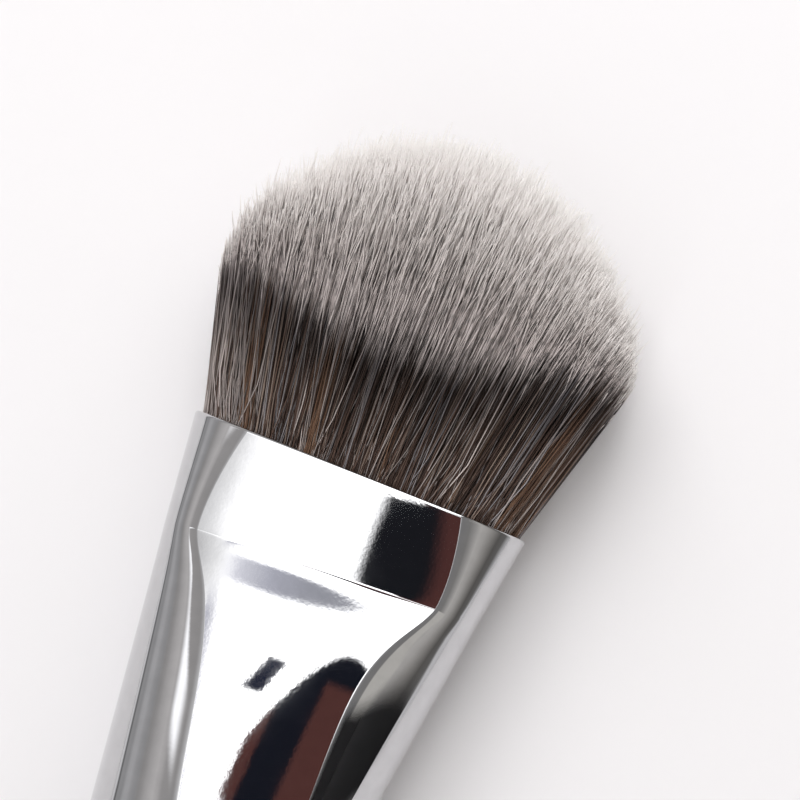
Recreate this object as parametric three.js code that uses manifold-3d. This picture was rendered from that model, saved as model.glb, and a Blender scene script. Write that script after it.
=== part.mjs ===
// A flat foundation brush, in millimetres, lying on its broad side on a table.
// Each piece is drawn along the brush's own axis: y = 0 at the ferrule's mouth and +Y towards the tip,
// X across the width, Z through the thickness. The finished brush is laid down at the end.
import * as THREE from 'three';
import { mergeVertices } from 'three/addons/utils/BufferGeometryUtils.js';
import Module from 'manifold-3d';

const wasm = await Module();
wasm.setup();

// Gap left between pieces that sit against each other
const CLEARANCE = 0.2;

// Ferrule: a round tube whose mouth is pressed flat
const FERRULE_LENGTH = 51;
const FERRULE_WALL = 0.45;
const MOUTH_WIDTH = 27;
const MOUTH_THICKNESS = 8.5;
const MOUTH_ROUND = 4.9;
const PANEL_LENGTH = 7.7;
const CREASE_SIDE = 2.8;
const SOCKET_RADIUS = 8.15;
const SOCKET_LENGTH = 8;

// How fast the pressed shape turns round: 1 is a straight run, more turns sooner
const WIDTH_EASE = 1.1;
const THICKNESS_EASE = 1.6;
const FACET_EASE = 0.85;
const LEAST_FACET = 0.2;

// Crimp grooves rolled into the socket
const CRIMP_COUNT = 2;
const CRIMP_PITCH = 2.8;
const CRIMP_WIDTH = 1.4;
const CRIMP_DEPTH = 0.25;
const CRIMP_FROM_END = 2.4;

// Handle: a turned grip with a tenon in the socket
const HANDLE_LENGTH = 100;
const COLLAR_EDGE = 0.6;
const BELLY_RADIUS = 8.5;
const BELLY_AT = 11;
const BELLY_REACH = 30;
const END_RADIUS = 3.5;
const END_ROUND = 3.8;
const END_REACH = 38;
const TENON_LENGTH = 19;
const TENON_CHAMFER = 1.5;
const GLUE_THICKNESS = 0.35;
const GLUE_LENGTH = 7;

// Set roots inside the mouth
const BACKING_DEPTH = 4;
const BACKING_HEIGHT = 3;
const PLUG_LENGTH = 11;
const BINDING_DEPTH = 0.9;
const BINDING_THICKNESS = 0.5;
const BINDING_HEIGHT = 2.6;
const BINDING_AT = 4;

// Tuft: strands that fan out of the mouth to a domed tip
const TUFT_LENGTH = 27;
const TUFT_WIDTH = 32.9;
const TUFT_THICKNESS = 13.2;
const SIDE_HEIGHT = 13.3;
const FACE_HEIGHT = 16.5;
const FAN_EASE = 1.35;

// Strands: each stands for a lock of filaments, which swells as the tuft fans and then comes to a point
const STRAND_SIDES = 3;
const STRAND_ROOT_RADIUS = 0.26;
const STRAND_SWELL_RADIUS = 0.46;
const STRAND_SWELL_AT = 0.7;
const STRAND_PITCH = 0.8;
const STRAND_SINK = 0.8;
const LAYERS = ['upper_face', 'upper_core', 'lower_core', 'lower_face'];
const ROWS_PER_LAYER = 3;

// Fineness of the curves
const SIDE_STEPS = 14;
const PRESS_STEPS = 9;
const PLUG_STEPS = 4;
const TURN_STEPS = 32;
const CURVE_STEPS = 8;

const ROUND_START = FERRULE_LENGTH - SOCKET_LENGTH;
const TENON_RADIUS = SOCKET_RADIUS - FERRULE_WALL - CRIMP_DEPTH - GLUE_THICKNESS - 2 * CLEARANCE;
const MOUTH_FLAT = MOUTH_WIDTH / 2 - MOUTH_ROUND;
const PLUG_TOP = BACKING_DEPTH + BACKING_HEIGHT + CLEARANCE;
const PLUG_INSET = FERRULE_WALL + CLEARANCE;
const BINDING_TOP = PLUG_TOP + BINDING_AT;
const ROOT_INSET = FERRULE_WALL + CLEARANCE + STRAND_ROOT_RADIUS;
const ROOT_HALF_WIDTH = MOUTH_WIDTH / 2 - ROOT_INSET;
const ROOT_HALF_THICKNESS = MOUTH_THICKNESS / 2 - ROOT_INSET;
const ROW_PITCH = 2 * ROOT_HALF_THICKNESS / (LAYERS.length * ROWS_PER_LAYER - 1);

// Half width, half thickness and half facet of the ferrule at a depth below its mouth
function ferruleSize(depth) {
  const along = Math.min(depth / ROUND_START, 1);
  const pressed = THREE.MathUtils.clamp((depth - PANEL_LENGTH) / (ROUND_START - PANEL_LENGTH), 0, 1);
  const width = SOCKET_RADIUS + (MOUTH_WIDTH / 2 - SOCKET_RADIUS) * (1 - along) ** WIDTH_EASE;
  const rise = 1 - (1 - pressed) ** THICKNESS_EASE;
  const thickness = THREE.MathUtils.lerp(MOUTH_THICKNESS / 2, SOCKET_RADIUS, rise);
  const panel = Math.min(depth / PANEL_LENGTH, 1);
  const flat = THREE.MathUtils.lerp(MOUTH_FLAT, width - CREASE_SIDE, panel);
  const facet = Math.max(flat * (1 - pressed) ** FACET_EASE, LEAST_FACET);
  return { width, thickness, facet };
}

// One ring of the ferrule's shape, moved inwards: two flat facets joined by half-ellipse sides
function ferruleRing(depth, inset) {
  const { width, thickness, facet } = ferruleSize(depth);
  const ring = [];
  for (const side of [1, -1]) {
    for (let step = 0; step <= SIDE_STEPS; step++) {
      const angle = Math.PI * (step / SIDE_STEPS - 0.5);
      const x = facet + (width - inset - facet) * Math.cos(angle);
      const z = (thickness - inset) * Math.sin(angle);
      ring.push(new THREE.Vector3(side * x, -depth, side * z));
    }
  }
  return ring;
}

// A closed skin over rings that run from the tip end to the handle end.
// A looped skin joins its last ring to its first; any other is capped at both ends.
function skin(rings, looped) {
  const count = rings[0].length;
  const corners = [];
  const spans = looped ? rings.length : rings.length - 1;
  for (let span = 0; span < spans; span++) {
    const here = span * count;
    const next = ((span + 1) % rings.length) * count;
    for (let i = 0; i < count; i++) {
      const j = (i + 1) % count;
      corners.push(here + i, here + j, next + j, here + i, next + j, next + i);
    }
  }
  const last = (rings.length - 1) * count;
  for (let i = 1; i < count - 1 && !looped; i++) {
    corners.push(0, i + 1, i, last, last + i, last + i + 1);
  }
  const geometry = new THREE.BufferGeometry().setFromPoints(rings.flat());
  geometry.setIndex(corners);
  return geometry;
}

// A solid plug that fills the ferrule between two depths
function plug(from, to, inset) {
  const rings = [];
  for (let step = 0; step <= PLUG_STEPS; step++) {
    rings.push(ferruleRing(THREE.MathUtils.lerp(from, to, step / PLUG_STEPS), inset));
  }
  return skin(rings, false);
}

// A ring-shaped band inside the ferrule between two depths
function band(from, to, outerInset, innerInset) {
  return skin([
    ferruleRing(from, outerInset),
    ferruleRing(to, outerInset),
    ferruleRing(to, innerInset),
    ferruleRing(from, innerInset),
  ], true);
}

// Exact solids for joining and cutting, without the triangles that close up where a shape ends in a point
function solid(geometry) {
  const bare = geometry.clone();
  bare.deleteAttribute('normal');
  bare.deleteAttribute('uv');
  const merged = mergeVertices(bare);
  const corners = [];
  for (let i = 0; i < merged.index.count; i += 3) {
    const triangle = merged.index.array.slice(i, i + 3);
    if (new Set(triangle).size === 3) corners.push(...triangle);
  }
  const mesh = new wasm.Mesh({
    numProp: 3,
    vertProperties: Float32Array.from(merged.attributes.position.array),
    triVerts: Uint32Array.from(corners),
  });
  return new wasm.Manifold(mesh);
}

function geometryOf(body) {
  const mesh = body.getMesh();
  const geometry = new THREE.BufferGeometry();
  geometry.setAttribute('position', new THREE.BufferAttribute(Float32Array.from(mesh.vertProperties), 3));
  geometry.setIndex(Array.from(mesh.triVerts));
  return geometry;
}

// Ferrule shell: the outside down to the handle end, then back up the inside
function ferruleShell() {
  const stations = [[0, 0]];
  for (let step = 0; step <= PRESS_STEPS; step++) {
    stations.push([THREE.MathUtils.lerp(PANEL_LENGTH, ROUND_START, step / PRESS_STEPS), 0]);
  }
  for (let crimp = CRIMP_COUNT - 1; crimp >= 0; crimp--) {
    const middle = FERRULE_LENGTH - CRIMP_FROM_END - crimp * CRIMP_PITCH;
    stations.push([middle - CRIMP_WIDTH / 2, 0], [middle, CRIMP_DEPTH], [middle + CRIMP_WIDTH / 2, 0]);
  }
  stations.push([FERRULE_LENGTH, 0]);
  const outside = stations.map(([depth, dent]) => ferruleRing(depth, dent));
  const inside = stations.map(([depth, dent]) => ferruleRing(depth, dent + FERRULE_WALL));
  return skin([...outside, ...inside.reverse()], true);
}

// Handle: tenon, shoulder, swelling grip and rounded end, turned about the axis
function handleBody() {
  const front = TENON_LENGTH - FERRULE_LENGTH;
  const shoulder = -FERRULE_LENGTH - CLEARANCE;
  const belly = shoulder - BELLY_AT;
  const end = shoulder - HANDLE_LENGTH;
  const profile = new THREE.Path();
  profile.moveTo(0, front);
  profile.lineTo(TENON_RADIUS - TENON_CHAMFER, front);
  profile.lineTo(TENON_RADIUS, front - TENON_CHAMFER);
  profile.lineTo(TENON_RADIUS, shoulder);
  profile.lineTo(SOCKET_RADIUS - COLLAR_EDGE, shoulder);
  profile.quadraticCurveTo(SOCKET_RADIUS, shoulder, SOCKET_RADIUS, shoulder - COLLAR_EDGE);
  profile.quadraticCurveTo(BELLY_RADIUS, shoulder - BELLY_AT / 2, BELLY_RADIUS, belly);
  profile.bezierCurveTo(
    BELLY_RADIUS, belly - BELLY_REACH,
    END_RADIUS, end + END_ROUND + END_REACH,
    END_RADIUS, end + END_ROUND,
  );
  profile.quadraticCurveTo(END_RADIUS, end, 0, end);
  const points = profile.getPoints(CURVE_STEPS);
  return new THREE.LatheGeometry(points.reverse(), TURN_STEPS);
}

// Adhesive sleeve between the tenon and the socket
function tenonGlue() {
  const inner = TENON_RADIUS + CLEARANCE;
  const outer = inner + GLUE_THICKNESS;
  const bottom = -FERRULE_LENGTH;
  const top = bottom + GLUE_LENGTH;
  const outline = [[inner, top], [inner, bottom], [outer, bottom], [outer, top], [inner, top]];
  return new THREE.LatheGeometry(outline.map(([radius, y]) => new THREE.Vector2(radius, y)), TURN_STEPS);
}

// Root plug below the backing, with a groove for the binding thread
function rootPlug() {
  const from = BINDING_TOP - CLEARANCE;
  const to = BINDING_TOP + BINDING_HEIGHT + CLEARANCE;
  const groove = band(from, to, 0, PLUG_INSET + BINDING_DEPTH);
  return geometryOf(solid(plug(PLUG_TOP, PLUG_TOP + PLUG_LENGTH, PLUG_INSET)).subtract(solid(groove)));
}

// Binding thread, wound round the roots in the plug's groove
function rootBinding() {
  const inner = PLUG_INSET + BINDING_DEPTH - CLEARANCE;
  return band(BINDING_TOP, BINDING_TOP + BINDING_HEIGHT, inner - BINDING_THICKNESS, inner);
}

// Share of the full fan that a strand has reached at a height above the mouth
function fan(height) {
  const share = THREE.MathUtils.clamp(height / SIDE_HEIGHT, 0, 1);
  return 1 - (1 - share) ** FAN_EASE;
}

// The middle of a strand at a height above the mouth, or below it, where it follows the tube's taper
function strandCentre(root, height) {
  const tubeWidth = ferruleSize(Math.max(-height, 0)).width - ROOT_INSET;
  const fullWidth = TUFT_WIDTH / 2 - STRAND_SWELL_RADIUS;
  const fullThickness = TUFT_THICKNESS / 2 - STRAND_SWELL_RADIUS;
  const halfWidth = THREE.MathUtils.lerp(tubeWidth, fullWidth, fan(height));
  const halfThickness = THREE.MathUtils.lerp(ROOT_HALF_THICKNESS, fullThickness, fan(height));
  const across = root.x / ROOT_HALF_WIDTH;
  const through = root.z / ROOT_HALF_THICKNESS;
  return new THREE.Vector3(across * halfWidth, height, through * halfThickness);
}

// Height of a unit quarter circle at a share of its radius
function quarterCircle(share) {
  return Math.sqrt(Math.max(1 - share ** 2, 0));
}

// The dome: highest in the middle, lower at the faces, lowest at the sides
function tipHeight(root) {
  const crown = quarterCircle(root.x / ROOT_HALF_WIDTH);
  const middle = THREE.MathUtils.lerp(SIDE_HEIGHT, TUFT_LENGTH, crown);
  const face = THREE.MathUtils.lerp(SIDE_HEIGHT, FACE_HEIGHT, crown);
  return THREE.MathUtils.lerp(face, middle, quarterCircle(root.z / ROOT_HALF_THICKNESS));
}

// One row of strand roots across the mouth, counted from the upper face, every other row half a pitch over
function rowRoots(row) {
  const z = ROOT_HALF_THICKNESS - row * ROW_PITCH;
  const round = (ROOT_HALF_WIDTH - MOUTH_FLAT) * quarterCircle(z / ROOT_HALF_THICKNESS);
  const reach = (MOUTH_FLAT + round) / STRAND_PITCH;
  const shift = (row % 2) / 2;
  const roots = [];
  for (let i = -Math.floor(reach + shift); i + shift <= reach; i++) {
    roots.push({ x: (i + shift) * STRAND_PITCH, z });
  }
  return roots;
}

// A three-sided strand: straight up to the mouth, then fanning to a point
function strand(root) {
  const tip = tipHeight(root);
  const stations = [
    [tip, 0],
    [STRAND_SWELL_AT * tip, STRAND_SWELL_RADIUS],
    [0, STRAND_ROOT_RADIUS],
    [-BACKING_DEPTH - STRAND_SINK, STRAND_ROOT_RADIUS],
  ];
  const rings = stations.map(([height, radius]) => {
    const corners = [];
    for (let side = 0; side < STRAND_SIDES; side++) {
      const angle = side * 2 * Math.PI / STRAND_SIDES;
      const corner = new THREE.Vector3(Math.cos(angle), 0, Math.sin(angle));
      corners.push(corner.multiplyScalar(radius).add(strandCentre(root, height)));
    }
    return corners;
  });
  return skin(rings, false);
}

// Height of the border above a layer, counted from the upper face; the outermost borders clear the tube
function layerBorder(index) {
  if (index === 0) return MOUTH_THICKNESS;
  if (index === LAYERS.length) return -MOUTH_THICKNESS;
  return (LAYERS.length / 2 - index) * ROWS_PER_LAYER * ROW_PITCH;
}

// A layer of the tuft: its strands fused to their slice of the glued backing
function bristleLayer(layer) {
  const upper = layerBorder(layer) - CLEARANCE / 2;
  const lower = layerBorder(layer + 1) + CLEARANCE / 2;
  const slab = new THREE.BoxGeometry(MOUTH_WIDTH, 2 * PLUG_TOP, upper - lower);
  slab.translate(0, 0, (upper + lower) / 2);
  const backing = plug(BACKING_DEPTH, BACKING_DEPTH + BACKING_HEIGHT, PLUG_INSET);
  const bodies = [solid(backing).intersect(solid(slab))];
  for (let row = layer * ROWS_PER_LAYER; row < (layer + 1) * ROWS_PER_LAYER; row++) {
    bodies.push(...rowRoots(row).map((root) => solid(strand(root))));
  }
  return geometryOf(bodies.reduce((whole, body) => whole.add(body)));
}

// The brush, piece by piece
const brush = new THREE.Group();

function addPiece(name, geometry, colour, roughness, metalness) {
  const material = new THREE.MeshStandardMaterial({ color: colour, roughness, metalness });
  const mesh = new THREE.Mesh(geometry, material);
  mesh.name = name;
  brush.add(mesh);
}

addPiece('ferrule', ferruleShell(), 0xd4d4d8, 0.08, 1);
addPiece('handle', handleBody(), 0x14110f, 0.2, 0);
addPiece('tenon_glue', tenonGlue(), 0xcdb98a, 0.4, 0);
addPiece('root_plug', rootPlug(), 0xb79a62, 0.35, 0);
addPiece('root_binding', rootBinding(), 0xd9d2c2, 0.9, 0);
LAYERS.forEach((name, layer) => {
  addPiece(`bristles_${name}`, bristleLayer(layer), 0x5a463d, 0.6, 0);
});

// Lay the brush down with its tip towards -Y, resting on the grip's belly and the tuft
const restSpan = FERRULE_LENGTH + BELLY_AT + FACE_HEIGHT * STRAND_SWELL_AT;
const restTilt = Math.asin((BELLY_RADIUS - TUFT_THICKNESS / 2) / restSpan);
brush.rotation.set(restTilt, 0, Math.PI);
const box = new THREE.Box3().setFromObject(brush, true);
brush.position.set(-(box.min.x + box.max.x) / 2, -(box.min.y + box.max.y) / 2, -box.min.z);

const part = new THREE.Group();
part.add(brush);
export default part;
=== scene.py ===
"""A flat foundation brush on a white table: chrome ferrule, two-tone tuft and lacquered handle."""
import math

import bpy
import numpy as np
from mathutils import Matrix, Vector


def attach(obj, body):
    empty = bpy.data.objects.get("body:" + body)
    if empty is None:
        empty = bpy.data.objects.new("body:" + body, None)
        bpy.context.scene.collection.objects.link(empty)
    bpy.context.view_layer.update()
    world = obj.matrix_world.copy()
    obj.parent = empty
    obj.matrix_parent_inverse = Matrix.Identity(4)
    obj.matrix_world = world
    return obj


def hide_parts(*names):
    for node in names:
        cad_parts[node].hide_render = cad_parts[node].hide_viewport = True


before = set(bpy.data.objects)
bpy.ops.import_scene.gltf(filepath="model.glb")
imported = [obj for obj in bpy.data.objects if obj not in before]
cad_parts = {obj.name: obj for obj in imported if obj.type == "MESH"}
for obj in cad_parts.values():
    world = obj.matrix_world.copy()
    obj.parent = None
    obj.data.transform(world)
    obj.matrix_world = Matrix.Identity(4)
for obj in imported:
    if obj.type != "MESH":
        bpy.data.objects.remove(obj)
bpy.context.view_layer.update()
scene = bpy.context.scene
scene.view_settings.view_transform = "Standard"
rng = np.random.default_rng(11)

# The brush's own axes, in millimetres: y = 0 at the mouth and + to the tip, x across, z through the
# thickness. LAY puts them on the table, in metres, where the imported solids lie.
MM = 0.001
REST_TILT = 0.025835640859754157
REST_FORWARD = 62.0975
REST_HEIGHT = 7.0365
TABLE_GAP = 0.08
LAY = (Matrix.Translation((0.0, -REST_FORWARD * MM, REST_HEIGHT * MM))
       @ Matrix.Rotation(REST_TILT, 4, "X") @ Matrix.Rotation(math.pi, 4, "Z") @ Matrix.Scale(MM, 4))

# Ferrule: a tube that is round at the handle and pressed flat at the mouth, where a panel runs from the lip
# to a crease
FERRULE_LENGTH = 51.0
FERRULE_WALL = 0.45
MOUTH_WIDTH = 27.0
MOUTH_THICKNESS = 8.5
MOUTH_FLAT = 8.6
NARROWING_POWER = 1.1
ROUNDING_POWER = 1.6
PANEL_LENGTH = 7.75
CREASE_SIDE = 2.8
CREASE_BLEND = 0.06
CREASE_SLANT = 0.058
SLANT_END = 26.0
SWELL_AFTER = 0.35
SWELL_BLEND = 1.3
SWELL_SHARE = 0.25
PINCH_DEPTH = 2.1
PINCH_AFTER = 1.0
PINCH_REACH = 6.6
PINCH_BLEND = 1.5
FACET_SKEW = 0.135
SKEW_AFTER = 13.4
SKEW_BLEND = 2.0
SKEW_FADE = 0.45
FACET_FALL = 0.36
FACET_LEAST = 0.2
SHOULDER_FULLNESS = 0.3
SOCKET_RADIUS = 8.15
SOCKET_LENGTH = 8.0
ROUND_START = FERRULE_LENGTH - SOCKET_LENGTH
CRIMPS = (FERRULE_LENGTH - 2.4, FERRULE_LENGTH - 5.2)
CRIMP_WIDTH = 1.4
CRIMP_DEPTH = 0.25

# Where the ferrule's rings and the points of a ring stand. The runs of rings give first depth, last depth
# and count; they are closest at the lip and the crease.
LIP_RADIUS = FERRULE_WALL / 2
LIP_STEPS = 6
RING_RUNS = (
    (0.25, 0.6, 12), (0.7, 1.4, 5), (1.8, 6.8, 9), (7.0, 7.5, 6), (7.55, 7.95, 21), (8.0, 9.6, 14),
    (9.8, ROUND_START, 60), (ROUND_START, FERRULE_LENGTH - LIP_RADIUS, 56))
INNER_RING_STEP = 3
SIDE_STEPS = 44
FLAT_SPREAD = (0.003, 0.01, 0.03, 0.1, 0.22, 0.36, 0.5, 0.64, 0.78, 0.9, 0.97, 0.99, 0.997)

# Handle: a tenon in the socket, a shoulder against the ferrule's end, a belly and a slim rounded end
TENON_RADIUS = 6.7
TENON_FRONT = 19.0
TENON_CHAMFER = 1.5
SHOULDER_GAP = 0.2
SHOULDER_ROUND = 0.6
BELLY_RADIUS = 8.5
BELLY_AFTER = 11.0
BELLY_LEAD = 5.5
BELLY_REACH = 30.0
HANDLE_LENGTH = 100.0
END_RADIUS = 3.5
END_ROUND = 3.8
END_REACH = 41.8
AXIS_RADIUS = 0.001
EDGE_LOOP = 0.01
HANDLE_TURNS = 96

# Tuft: its outline, and the line on it where dark shafts turn pale
TUFT_LENGTH = 26.5
SIDE_HEIGHT = 12.4
FACE_HEIGHT = 15.4
CROWN_POWER = 1.03
TUFT_TILT = 1.25
FLARE = 0.29
FLARE_THROUGH = 0.19
DYE_SIDE = 12.4
DYE_TILT = 0.7
DYE_DIP = 2.7
DYE_SPREAD = 0.68
DYE_EDGE = 4.5
DYE_EDGE_FROM = 0.7
PALE_LEAST = 1.3
ROOT_HALF_WIDTH = 12.98
ROOT_HALF_THICKNESS = 3.68
ROOT_TAPER = 0.009
ROOT_PITCH = 0.104
ROW_PITCH = 0.866
ROOT_SCATTER = 0.3
LOCK_COUNT = 380
WISP_COUNT = 6000

# Stations along a filament: its root, the mouth, a share of the way to its dye line, the line, then shares
# of the way from there to its tip
ROOT_DEPTH = -1.6
MOUTH_HEIGHT = 0.15
SHAFT_SHARE = 0.3
PALE_SHARES = (0.0, 0.42, 0.84, 1.0)
FILAMENT_RADIUS = (0.048, 0.048, 0.05, 0.052, 0.057, 0.054, 0.022)
CORNERS = 3

# Filament colours run along each filament: under the dye line by the depth below it, in millimetres, and
# over the line by the share of the way to the dome's top. They change from one tint column to the next.
TINT_COLUMNS = 128
COLUMN_MARGIN = 0.15
COLUMN_USED = 0.7
DYED_SPAN = 16.0
PALE_RUN = 4.5
HUE_STEP = 0.002

# Tints, each a start and a width on the shafts' ramp
DARK_TINTS = (0.0, 0.47)
CHESTNUT_TINTS = (0.51, 0.15)
TAUPE_TINTS = (0.68, 0.1)
COOL_TINTS = (0.8, 0.07)
GREY_TINTS = (0.88, 0.12)
LIGHT_TINTS_FROM = 0.67

# Who has which tint: shares and their change across the tuft, and a warmth that waves from patch to patch
LIGHT_SHARE = 0.23
LIGHT_TILT = 0.2
LIGHT_SIDES = 0.2
LIGHT_EDGE = 0.35
EDGE_FROM = 0.55
WARM_SWELL = 0.35
WARM_WAVE = 1.2
WARM_PHASE = 0.4
COOL_BELOW = 0.3
COOL_FROM = -0.6
CHESTNUT_ABOVE = 0.66
CHESTNUT_SHARE = 0.8
TAUPE_ABOVE = 0.9
TAUPE_ABOVE_EDGE = 0.6

# How tips and dye lines differ by lock, by wisp and by filament, in millimetres
RAGGED = (0.18, 0.3, 0.2)
DYE_RAGGED_LOCK = 0.3
DYE_RAGGED = 0.5
CALM_FROM = 0.6
CALM_WIDTH = 0.4
CALM_SHARE = 0.6
SHORT_FACE = 0.45
SHORT_CORE = 0.9
TIP_RISE = 0.3
TIP_LEAST = 8.0
PALE_TIP = 0.8

# How filaments sway: leaning and bowing, light and dark ones, in millimetres at the tip or the middle
LEAN_LOCK = 0.2
LEAN_WISP = 0.25
LEAN_LIGHT = 0.8
LEAN_DARK = 0.4
LEAN_POWER = 1.4
LEAN_THROUGH = 0.5
STRAY_SHARE = 0.008
STRAY_LEAN = 1.2
BOW_LIGHT = 0.85
BOW_DARK = 0.35
BOW_THROUGH = 0.6
TAME_FROM = 0.8
TAME_WIDTH = 0.2
TAME_SHARE = 0.3
WOBBLE = 0.1
WAVES = (0.8, 2.2)

# How they gather: the least and most pull, and the start and the run of it along a filament
LOCK_PULL = (0.0, 0.14)
LOCK_FROM = 0.05
LOCK_RUN = 0.75
WISP_PULL = (0.3, 0.8)
WISP_FROM = 0.6
WISP_RUN = 0.4
GIRTH = (0.85, 1.1)
DARK_GIRTH = 0.97


def mesh_object(name, verts, faces, material, uv=None):
    """A smooth mesh piece from points in the brush's own axes.

    The faces come as a list of arrays, one for each count of corners.
    """
    mesh = bpy.data.meshes.new(name)
    placed = np.asarray(verts, dtype=float) @ np.array(LAY.to_3x3()).T + np.array(LAY.translation)
    counts = np.concatenate([np.full(len(group), group.shape[1]) for group in faces])
    starts = np.concatenate([[0], np.cumsum(counts)[:-1]])
    loops = np.concatenate([group.ravel() for group in faces])
    mesh.vertices.add(len(placed))
    mesh.vertices.foreach_set("co", placed.astype(np.float32).ravel())
    mesh.loops.add(len(loops))
    mesh.loops.foreach_set("vertex_index", loops.astype(np.int32))
    mesh.polygons.add(len(counts))
    mesh.polygons.foreach_set("loop_start", starts.astype(np.int32))
    mesh.polygons.foreach_set("use_smooth", np.ones(len(counts), dtype=bool))
    mesh.update(calc_edges=True)
    if uv is not None:
        layer = mesh.uv_layers.new(name="OFBake")
        layer.data.foreach_set("uv", uv.astype(np.float32).ravel())
    mesh.validate()
    mesh.materials.append(material)
    piece = bpy.data.objects.new(name, mesh)
    scene.collection.objects.link(piece)
    return piece


class Nodes:
    """Short calls for building a node tree, of a new material or of the tree's owner given."""

    def __init__(self, name, owner=None):
        self.material = owner or bpy.data.materials.new(name)
        self.material.use_nodes = True
        self.tree = self.material.node_tree
        self.shader = self.tree.nodes.get("Principled BSDF") or self.tree.nodes["Background"]

    def add(self, kind, **values):
        node = self.tree.nodes.new(kind)
        for key, value in values.items():
            setattr(node, key, value)
        return node

    def link(self, source, target):
        self.tree.links.new(source, target)

    def fill(self, socket, value):
        """Links an output to a socket, or sets a number or a colour on it."""
        if hasattr(value, "is_output"):
            self.link(value, socket)
        elif isinstance(value, tuple):
            socket.default_value = (*value, 1.0)
        else:
            socket.default_value = value

    def math(self, operation, first, second=None):
        node = self.add("ShaderNodeMath", operation=operation)
        self.fill(node.inputs[0], first)
        if second is not None:
            self.fill(node.inputs[1], second)
        return node.outputs[0]

    def plus(self, first, second):
        return self.math("ADD", first, second)

    def minus(self, first, second):
        return self.math("SUBTRACT", first, second)

    def times(self, first, second):
        return self.math("MULTIPLY", first, second)

    def axes(self, vector):
        node = self.add("ShaderNodeSeparateXYZ")
        self.link(vector, node.inputs[0])
        return [node.outputs[axis] for axis in "XYZ"]

    def coords(self, kind):
        return self.add("ShaderNodeTexCoord").outputs[kind]

    def smooth(self, value, start, end):
        """Rises from 0 at the start to 1 at the end."""
        node = self.add("ShaderNodeMapRange", interpolation_type="SMOOTHSTEP")
        self.link(value, node.inputs["Value"])
        node.inputs["From Min"].default_value = start
        node.inputs["From Max"].default_value = end
        return node.outputs[0]

    def inside(self, value, low, high, soft):
        """1 between low and high, fading over a softness at either end."""
        rise = self.smooth(value, low - soft[0], low + soft[0])
        fall = self.smooth(value, high - soft[1], high + soft[1])
        return self.times(rise, self.minus(1.0, fall))

    def ramp(self, factor, stops):
        node = self.add("ShaderNodeValToRGB")
        elements = node.color_ramp.elements
        for position, _ in stops[1:-1]:
            elements.new(position)
        for element, (position, colour) in zip(elements, stops):
            element.position = position
            element.color = (*colour, 1.0)
        self.link(factor, node.inputs["Fac"])
        return node.outputs["Color"]

    def grey_ramp(self, factor, stops):
        return self.ramp(factor, [(position, (level,) * 3) for position, level in stops])

    def mix(self, factor, first, second, blend="MIX"):
        node = self.add("ShaderNodeMix", data_type="RGBA", blend_type=blend)
        for socket, value in ((node.inputs[0], factor), (node.inputs[6], first), (node.inputs[7], second)):
            self.fill(socket, value)
        return node.outputs[2]

    def noise(self, scale, detail=2.0, roughness=0.5, stretch=None):
        coords = self.coords("Object")
        if stretch is not None:
            mapping = self.add("ShaderNodeMapping")
            mapping.inputs["Scale"].default_value = stretch
            self.link(coords, mapping.inputs["Vector"])
            coords = mapping.outputs["Vector"]
        node = self.add("ShaderNodeTexNoise")
        node.inputs["Scale"].default_value = scale
        node.inputs["Detail"].default_value = detail
        node.inputs["Roughness"].default_value = roughness
        self.link(coords, node.inputs["Vector"])
        return node.outputs["Fac"]

    def bump(self, height, strength, distance, normal=None):
        node = self.add("ShaderNodeBump")
        node.inputs["Strength"].default_value = strength
        node.inputs["Distance"].default_value = distance
        self.link(height, node.inputs["Height"])
        if normal is not None:
            self.link(normal, node.inputs["Normal"])
        return node.outputs["Normal"]


# Materials
def chrome_material():
    n = Nodes("chrome_plating")
    n.shader.inputs["Metallic"].default_value = 1.0
    haze = n.noise(900.0, 3.0)
    n.link(n.ramp(haze, [(0.3, (0.56, 0.56, 0.57)), (0.7, (0.6, 0.6, 0.61))]), n.shader.inputs["Base Color"])
    n.link(n.grey_ramp(n.noise(260.0, 4.0), [(0.35, 0.012), (0.75, 0.022)]), n.shader.inputs["Roughness"])
    peel = n.bump(n.noise(3600.0, 1.0), 0.0045, 0.00004)
    wave = n.bump(n.noise(230.0, 1.0), 0.004, 0.0002, peel)
    n.link(wave, n.shader.inputs["Normal"])
    return n.material


def lacquer_material():
    n = Nodes("black_lacquer")
    n.shader.inputs["Coat Weight"].default_value = 0.6
    n.shader.inputs["Coat Roughness"].default_value = 0.06
    grain = n.noise(60.0, 6.0, 0.6, (14.0, 1.0, 14.0))
    n.link(n.ramp(grain, [(0.3, (0.011, 0.0095, 0.009)), (0.75, (0.021, 0.018, 0.0165))]),
           n.shader.inputs["Base Color"])
    n.link(n.grey_ramp(n.noise(420.0, 5.0), [(0.35, 0.16), (0.8, 0.26)]), n.shader.inputs["Roughness"])
    pores = n.bump(grain, 0.12, 0.0002)
    n.link(n.bump(n.noise(700.0, 1.0), 0.05, 0.0001, pores), n.shader.inputs["Normal"])
    return n.material


def resin_material():
    n = Nodes("cured_resin")
    n.link(n.ramp(n.noise(500.0, 4.0), [(0.3, (0.42, 0.31, 0.15)), (0.75, (0.6, 0.49, 0.28))]),
           n.shader.inputs["Base Color"])
    n.link(n.grey_ramp(n.noise(900.0, 2.0), [(0.3, 0.25), (0.8, 0.42)]), n.shader.inputs["Roughness"])
    return n.material


def thread_material():
    n = Nodes("waxed_thread")
    turns = n.noise(900.0, 2.0, 0.5, (0.05, 1.0, 0.05))
    n.link(n.ramp(turns, [(0.35, (0.5, 0.46, 0.38)), (0.65, (0.78, 0.74, 0.65))]),
           n.shader.inputs["Base Color"])
    n.link(n.bump(turns, 0.5, 0.0004), n.shader.inputs["Normal"])
    n.shader.inputs["Roughness"].default_value = 0.75
    return n.material


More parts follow.
